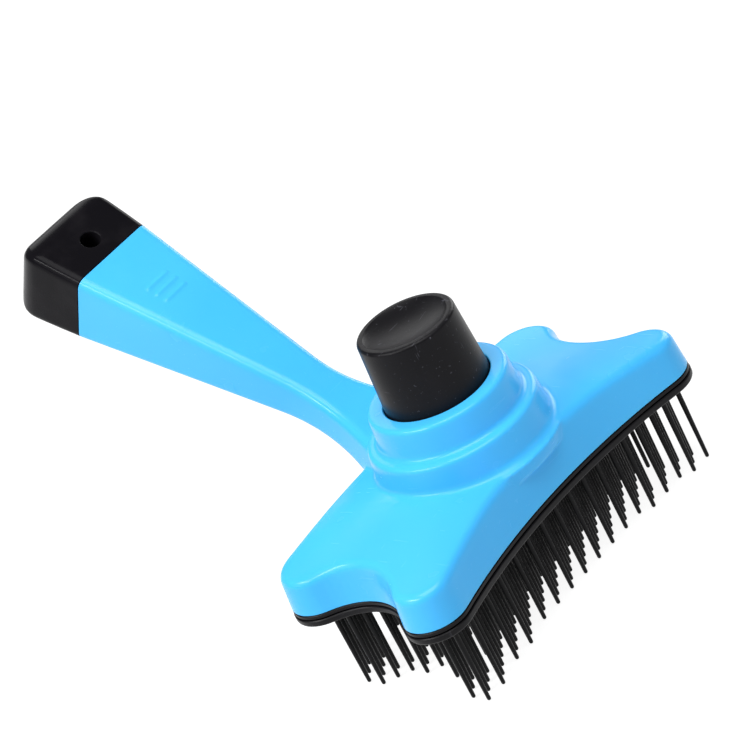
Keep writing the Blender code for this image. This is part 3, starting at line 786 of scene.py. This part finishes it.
def pin_bodies(name, profile, segments):
    """One small turned solid at each pin's place, as one mesh."""
    points = []
    faces = []
    for x, y in pin_places():
        base = len(points)
        for radius, z in profile:
            for i in range(segments):
                angle = math.tau * (i + 0.5) / segments
                points.append((x + radius * math.cos(angle), y + radius * math.sin(angle), z))
        rows = [[base + row * segments + i for i in range(segments)] for row in range(len(profile))]
        faces += [rows[0], rows[-1]]
        for low, high in zip(rows, rows[1:]):
            for i in range(segments):
                j = (i + 1) % segments
                faces.append((low[i], low[j], high[j], high[i]))
    return new_object(name, points, faces)


# Pieces

def shell_hollow():
    """Everything that the shell is hollow of: head, bore, mouth, handle core and screw holes."""
    below = -5
    hollow = head_solid("hollow", WALL, WALL, below)
    bore = cylinder("bore", (0, 0), FLANGE_R + GAP, below + 1, UPPER_STEP_Z - COLLAR_ROOF, 96)
    mouth_r = BUTTON_BASE_R + GAP
    lip = COLLAR_LIP_R
    mouth = [(mouth_r, below + 2)]
    mouth += [(mouth_r + lip - lip * math.cos(t), UPPER_STEP_Z - lip + lip * math.sin(t))
              for t in (math.radians(turn) for turn in range(0, 91, 18))]
    mouth.append((mouth_r + lip, UPPER_STEP_Z + 5))
    core = handle_core("core", HANDLE_LENGTH - CORE_LENGTH, HANDLE_LENGTH + 6, WALL)
    boss_low = PLATE_HEIGHT + GAP
    bosses = [cylinder("boss", p, BOSS_R, boss_low, EDGE_Z_MID + 4, 32) for p in plate_screw_places()]
    combine(hollow, bosses, "DIFFERENCE")
    pilot_r = PLATE_SCREW["shank"] + GAP
    pilot_top = LIP_BOTTOM + GAP / 2 + PLATE_SCREW["head_height"] + PLATE_SCREW["length"] + GAP
    pilots = [cylinder("pilot", p, pilot_r, boss_low - 1, pilot_top, 24) for p in plate_screw_places()]
    return combine(hollow, [bore, lathe("mouth", mouth), core] + pilots, "UNION")


def make_shell(surface):
    shell = head_solid("blue_shell", 0, 0, -4)
    merge(shell, [collar_solid(), handle_solid(4)])
    melt(shell, SHELL_VOXEL, SHELL_SOFTENING)
    raise_marks(shell)
    slice_off(shell, (0, 0, 0), (0, 0, -1))
    seam, up = handle_frame(HANDLE_LENGTH)
    slice_off(shell, seam, FORWARD)
    combine(shell, [shell_hollow()], "DIFFERENCE")
    show(shell, BRUSH, surface, ["body_shell"], 40)


def rounded_off(into, radius):
    into = max(into, 0)
    return radius - math.sqrt(max(radius ** 2 - into ** 2, 0))


def cap_solid(name, start, inset):
    """The cap beyond the seam, made smaller by the inset to give its own hollow."""
    seam = HANDLE_LENGTH + GAP
    length = CAP_LENGTH - inset
    corner_r = CAP_CORNER_R - inset
    top_r = CAP_TOP_R - inset
    bottom_r = CAP_BOTTOM_R - inset
    rings = []
    stops = [start, 0.15 * length, 0.3 * length, 0.45 * length, length - top_r]
    stops += [length - top_r * (1 - math.sin(math.radians(turn))) for turn in range(8, 91, 6)]
    for stop in stops + [length]:
        thickness = handle_size(seam + stop)[1] - 2 * inset
        half_width = SEAM_HALF_WIDTH - inset + CAP_FLARE * math.sin(math.pi / 2 * stop / length)
        narrow = rounded_off(stop - length + corner_r, corner_r)
        top = rounded_off(stop - length + top_r, top_r)
        bottom = rounded_off(stop - length + bottom_r, bottom_r)
        ring = handle_section(seam + stop, half_width - narrow, -inset - top,
                              thickness - top - bottom, HANDLE_ROUND)
        origin, up = handle_frame(seam + stop)
        rake = CAP_RAKE * stop / length / thickness
        rings.append([p + FORWARD * rake * (origin - p).dot(up) for p in ring])
    return loft(name, rings)


def hang_cylinder(name, profile):
    """A turned solid square to the handle through the hang hole's centre, from (radius, height)."""
    centre, up = handle_frame(HANDLE_LENGTH + HANG_HOLE_FROM_SEAM)
    sideways = Vector((1, 0, 0))
    forward = up.cross(sideways)
    rings = []
    for radius, height in profile:
        turns = [math.tau * i / 48 for i in range(48)]
        rings.append([centre + up * height + (sideways * math.cos(t) + forward * math.sin(t)) * radius
                      for t in turns])
    return loft(name, rings)


def make_cap(surface):
    seam = HANDLE_LENGTH + GAP
    depth = handle_size(seam + HANG_HOLE_FROM_SEAM)[1]
    cap = melt(cap_solid("end_cap", -3.0, 0.0), CAP_VOXEL, CAP_SOFTENING)
    origin, up = handle_frame(seam)
    slice_off(cap, origin, -FORWARD)
    plug = handle_core("plug", HANDLE_LENGTH - PLUG_LENGTH, seam + 1, WALL + GAP)
    combine(cap, [plug], "UNION")
    mouth = handle_core("cap_mouth", HANDLE_LENGTH - PLUG_LENGTH - 1, seam + 2 * CAP_WALL,
                        2 * WALL + GAP)
    combine(cap, [cap_solid("cap_hollow", CAP_WALL, CAP_WALL), mouth], "DIFFERENCE")
    tube_r = HANG_HOLE_R + HANG_TUBE_WALL
    tube = hang_cylinder("tube", [(tube_r, -CAP_WALL / 2), (tube_r, CAP_WALL / 2 - depth)])
    combine(cap, [tube], "UNION")
    lip = HANG_HOLE_LIP_R
    drawn = [(HANG_HOLE_R + lip, 2)]
    drawn += [(HANG_HOLE_R + lip - lip * math.sin(t), -lip + lip * math.cos(t) + 0.02)
              for t in (math.radians(turn) for turn in range(0, 91, 18))]
    drawn.append((HANG_HOLE_R, -depth - 2 * CAP_WALL))
    combine(cap, [hang_cylinder("hang_hole", drawn)], "DIFFERENCE")
    show(cap, BRUSH, surface, ["handle_cap"], 40)


def make_button(surface):
    inner_r = BUTTON_TOP_R - BUTTON_WALL
    edge = BUTTON_EDGE_R
    pilot_r = BUTTON_SCREW["shank"] + GAP
    pilot_top = PLUNGER_BOTTOM + BUTTON_SCREW["length"]
    boss_end = BUTTON_CEILING - BUTTON_BOSS_LENGTH
    profile = [(0, pilot_top), (pilot_r, pilot_top), (pilot_r, boss_end), (BUTTON_BOSS_R, boss_end)]
    profile += [(BUTTON_BOSS_R, BUTTON_CEILING - 0.5), (BUTTON_BOSS_R + 0.5, BUTTON_CEILING)]
    profile += [(inner_r - 0.5, BUTTON_CEILING), (inner_r, BUTTON_CEILING - 0.5)]
    profile += [(BUTTON_BASE_R - BUTTON_WALL, FLANGE_BOTTOM), (FLANGE_R - BROKEN_EDGE, FLANGE_BOTTOM)]
    profile += [(FLANGE_R, FLANGE_BOTTOM + BROKEN_EDGE), (FLANGE_R, FLANGE_TOP)]
    profile.append((BUTTON_BASE_R, FLANGE_TOP))
    profile.append((BUTTON_BASE_R, UPPER_STEP_Z))
    profile += round_edge(BUTTON_TOP_R - edge, BUTTON_TOP_Z - edge, edge, 4, 90, 8)
    rim_r = BUTTON_TOP_R - 1.7 * edge
    profile += round_edge(rim_r - 0.1, BUTTON_TOP_Z - 0.35, 0.35, 88, 130, 3)
    for share in (0.92, 0.84, 0.74, 0.62, 0.5, 0.38, 0.26, 0.13, 0.0):
        profile.append((rim_r * share, BUTTON_TOP_Z - BUTTON_DISH * (1 - share ** 2.4)))
    button = lathe("button", profile, segments=128)
    show(button, EJECTOR, surface, ["push_button"], 50)


def make_plunger(surface):
    edge = BROKEN_EDGE
    disc = [(PLUNGER_R - edge, PLUNGER_BOTTOM), (PLUNGER_R, PLUNGER_BOTTOM + edge)]
    disc += [(PLUNGER_R, PLUNGER_TOP - edge), (PLUNGER_R - edge, PLUNGER_TOP)]
    plunger = lathe("button_plunger", disc)
    low = EJECTOR_TOP + GAP
    leg = [(LEG_R - edge, low), (LEG_R, low + edge), (LEG_R, PLUNGER_BOTTOM + 1)]
    legs = [lathe("leg", leg, p, 40) for p in leg_places()]
    combine(plunger, legs, "UNION")
    pilot_top = EJECTOR_BOTTOM + GAP / 2 + EJECTOR_SCREW["head_height"] + EJECTOR_SCREW["length"] + GAP
    holes = [cylinder("pilot", p, EJECTOR_SCREW["shank"] + GAP, low - 1, pilot_top, 24) for p in leg_places()]
    holes.append(cylinder("hole", (0, 0), BUTTON_SCREW["shank"] + GAP, PLUNGER_BOTTOM - 1,
                          PLUNGER_TOP + 1, 24))
    combine(plunger, holes, "DIFFERENCE")
    show(plunger, EJECTOR, surface, ["plunger"])


def make_spring(surface):
    """A coil from the pin plate up to the plunger, drawn at its resting length; pressing the real button
    shortens it, but this mesh keeps its shape.
    """
    low = PLATE_HEIGHT + GAP + WIRE_R
    high = PLUNGER_BOTTOM - GAP - WIRE_R
    per_turn = 40
    rings = []
    for i in range(SPRING_TURNS * per_turn + 1):
        angle = math.tau * i / per_turn
        share = (i / per_turn - FLAT_TURN) / (SPRING_TURNS - 2 * FLAT_TURN)
        height = low + (high - low) * min(max(share, 0), 1)
        outward = Vector((math.cos(angle), math.sin(angle), 0))
        middle = outward * SPRING_R + Vector((0, 0, height))
        turns = [math.tau * k / 12 for k in range(12)]
        rings.append([middle + outward * WIRE_R * math.cos(t) + Vector((0, 0, WIRE_R * math.sin(t)))
                      for t in turns])
    spring = show(loft("spring", rings), BRUSH, surface, ["return_spring"], 70)
    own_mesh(spring)


def make_pin_plate(surface):
    edge = PIN_PLATE_EDGE
    plate = loft("pin_carrier", [at(LIP_BOTTOM, outline(edge)), at(LIP_BOTTOM + edge, outline(0)),
                                 at(LIP_TOP - edge, outline(0)), at(LIP_TOP, outline(edge))])
    fit = WALL + GAP
    lean = WALL_DRAFT * EDGE_Z_END * PLATE_HEIGHT / (EDGE_Z_END - EDGE_ROUND - WALL)
    raised = loft("raised", [at(LIP_TOP - LIP_THICK / 2, outline(fit)), at(0, outline(fit)),
                             at(PLATE_HEIGHT, outline(fit + lean))])
    cup_r = SPRING_R + WIRE_R + GAP
    cup = cylinder("cup", (0, 0), cup_r + CUP_WALL, PLATE_HEIGHT - 1, PLATE_HEIGHT + CUP_HEIGHT, 96)
    combine(plate, [raised, cup], "UNION")
    well = cylinder("well", (0, 0), cup_r, PLATE_HEIGHT, PLATE_HEIGHT + CUP_HEIGHT + 1, 96)
    low = LIP_BOTTOM - 1
    high = PLATE_HEIGHT + 1
    holes = [cylinder("hole", p, LEG_R + GAP, low, high, 40) for p in leg_places()]
    sink = LIP_BOTTOM + GAP / 2 + PLATE_SCREW["head_height"] + GAP
    for place in plate_screw_places():
        holes.append(cylinder("hole", place, PLATE_SCREW["shank"] + GAP, low, high, 24))
        holes.append(cylinder("sink", place, PLATE_SCREW["head"] + GAP, low, sink, 40))
    combine(plate, [well] + holes, "DIFFERENCE")
    show(plate, BRUSH, surface, ["pin_plate"])


def make_pins(surface):
    """Round tapering pins with domed tips, moulded into the plate's underside."""
    tip = PIN_TIP_R
    dome = [(tip * math.cos(t), -PIN_REACH + tip - tip * math.sin(t))
            for t in (math.radians(turn) for turn in (76, 52, 28, 4))]
    profile = dome + [(PIN_R, LIP_BOTTOM - PIN_TAPER_FROM), (PIN_R, LIP_BOTTOM + PIN_ROOT)]
    show(pin_bodies("pins", profile, 14), BRUSH, surface, ["pin_plate"], 50)


def make_ejector(surface):
    rings = []
    for turn in (90, 67, 45, 22, 0):
        angle = math.radians(turn)
        lean = EJECTOR_ROUND * (1 - math.cos(angle))
        lift = EJECTOR_ROUND * (1 - math.sin(angle))
        rings.append(at(EJECTOR_BOTTOM + lift, outline(lean - EJECTOR_PROUD)))
    rings.append(at(EJECTOR_TOP - EJECTOR_TOP_EDGE, outline(-EJECTOR_PROUD)))
    rings.append(at(EJECTOR_TOP, outline(EJECTOR_TOP_EDGE - EJECTOR_PROUD)))
    plate = loft("stripper_plate", rings)
    low = EJECTOR_BOTTOM - 1
    high = EJECTOR_TOP + 1
    combine(plate, [pin_bodies("pin_holes", [(PIN_HOLE_R, low), (PIN_HOLE_R, high)], 16)], "DIFFERENCE")
    holes = []
    sink = EJECTOR_BOTTOM + GAP / 2 + EJECTOR_SCREW["head_height"] + GAP
    for place in leg_places():
        holes.append(cylinder("hole", place, EJECTOR_SCREW["shank"] + GAP, low, high, 24))
        holes.append(cylinder("sink", place, EJECTOR_SCREW["head"] + GAP, low, sink, 40))
    combine(plate, holes, "DIFFERENCE")
    show(plate, EJECTOR, surface, ["ejector_plate"])


def make_screw(name, body, node, centre, head_bottom, size, surface):
    """A pan-head screw that points up, with a cross recess and a thread."""
    head_top = head_bottom + size["head_height"]
    tip = head_top + size["length"]
    head = size["head"]
    rise = size["head_height"]
    crown = ((0.5, 0.03), (0.8, 0.17), (0.95, 0.42), (1.0, 0.7))
    profile = [(0, head_bottom)] + [(head * out, head_bottom + rise * up) for out, up in crown]
    profile += [(head, head_top), (size["shank"], head_top)]
    pitch = size["shank"] * 0.7
    z = head_top + pitch
    root = size["shank"] * 0.82
    while z < tip - 2 * size["shank"]:
        profile += [(root, z), (size["shank"], z + pitch / 2), (root, z + pitch)]
        z += pitch * 1.01
    profile += [(size["shank"] * 0.3, tip), (0, tip)]
    made = lathe(name, profile, centre, 32)
    arm = head * 0.55
    slot = head * 0.13
    deep = head_bottom + rise * 0.6
    cross = [(slot, slot), (slot, arm), (-slot, arm), (-slot, slot), (-arm, slot), (-arm, -slot),
             (-slot, -slot), (-slot, -arm), (slot, -arm), (slot, -slot), (arm, -slot), (arm, slot)]
    rings = [[(centre[0] + x * share, centre[1] + y * share, z) for x, y in cross]
             for share, z in ((1.0, head_bottom - 1), (1.0, head_bottom), (0.45, deep))]
    combine(made, [loft("cross", rings)], "DIFFERENCE")
    show(made, body, surface, [node])


def make_screws(surface):
    plate_head = LIP_BOTTOM + GAP / 2
    for number, place in enumerate(plate_screw_places(), 1):
        make_screw(f"plate_screw_{number}", BRUSH, f"pin_plate_screw_{number}", place, plate_head,
                   PLATE_SCREW, surface)
    ejector_head = EJECTOR_BOTTOM + GAP / 2
    for number, place in enumerate(leg_places(), 1):
        make_screw(f"leg_screw_{number}", EJECTOR, f"ejector_screw_{number}", place, ejector_head,
                   EJECTOR_SCREW, surface)
    button_head = PLUNGER_BOTTOM - GAP - BUTTON_SCREW["head_height"]
    make_screw("plunger_screw", EJECTOR, "button_screw", (0.0, 0.0), button_head, BUTTON_SCREW, surface)


make_camera()
make_studio()
button_black = satin_material("button_black", (0.0055, 0.0052, 0.0064), (0.11, 0.11, 0.13),
                              roughness=0.38, dust=0.03, grain_scale=1600.0, specular=0.12)
plate_black = satin_material("plate_black", (0.0045, 0.0043, 0.0054), (0.05, 0.05, 0.06),
                             roughness=0.40, dust=0.0, grain_scale=1400.0, specular=0.14)
pin_black = satin_material("pin_black", (0.0035, 0.0035, 0.0041), (0.025, 0.025, 0.03),
                           roughness=0.42, dust=0.0, grain_scale=1800.0, specular=0.12)
steel = steel_material()
make_shell(blue_material())
make_cap(black_gloss_material())
make_button(button_black)
make_plunger(plate_black)
make_spring(steel)
make_pin_plate(plate_black)
make_pins(pin_black)
make_ejector(plate_black)
make_screws(steel)
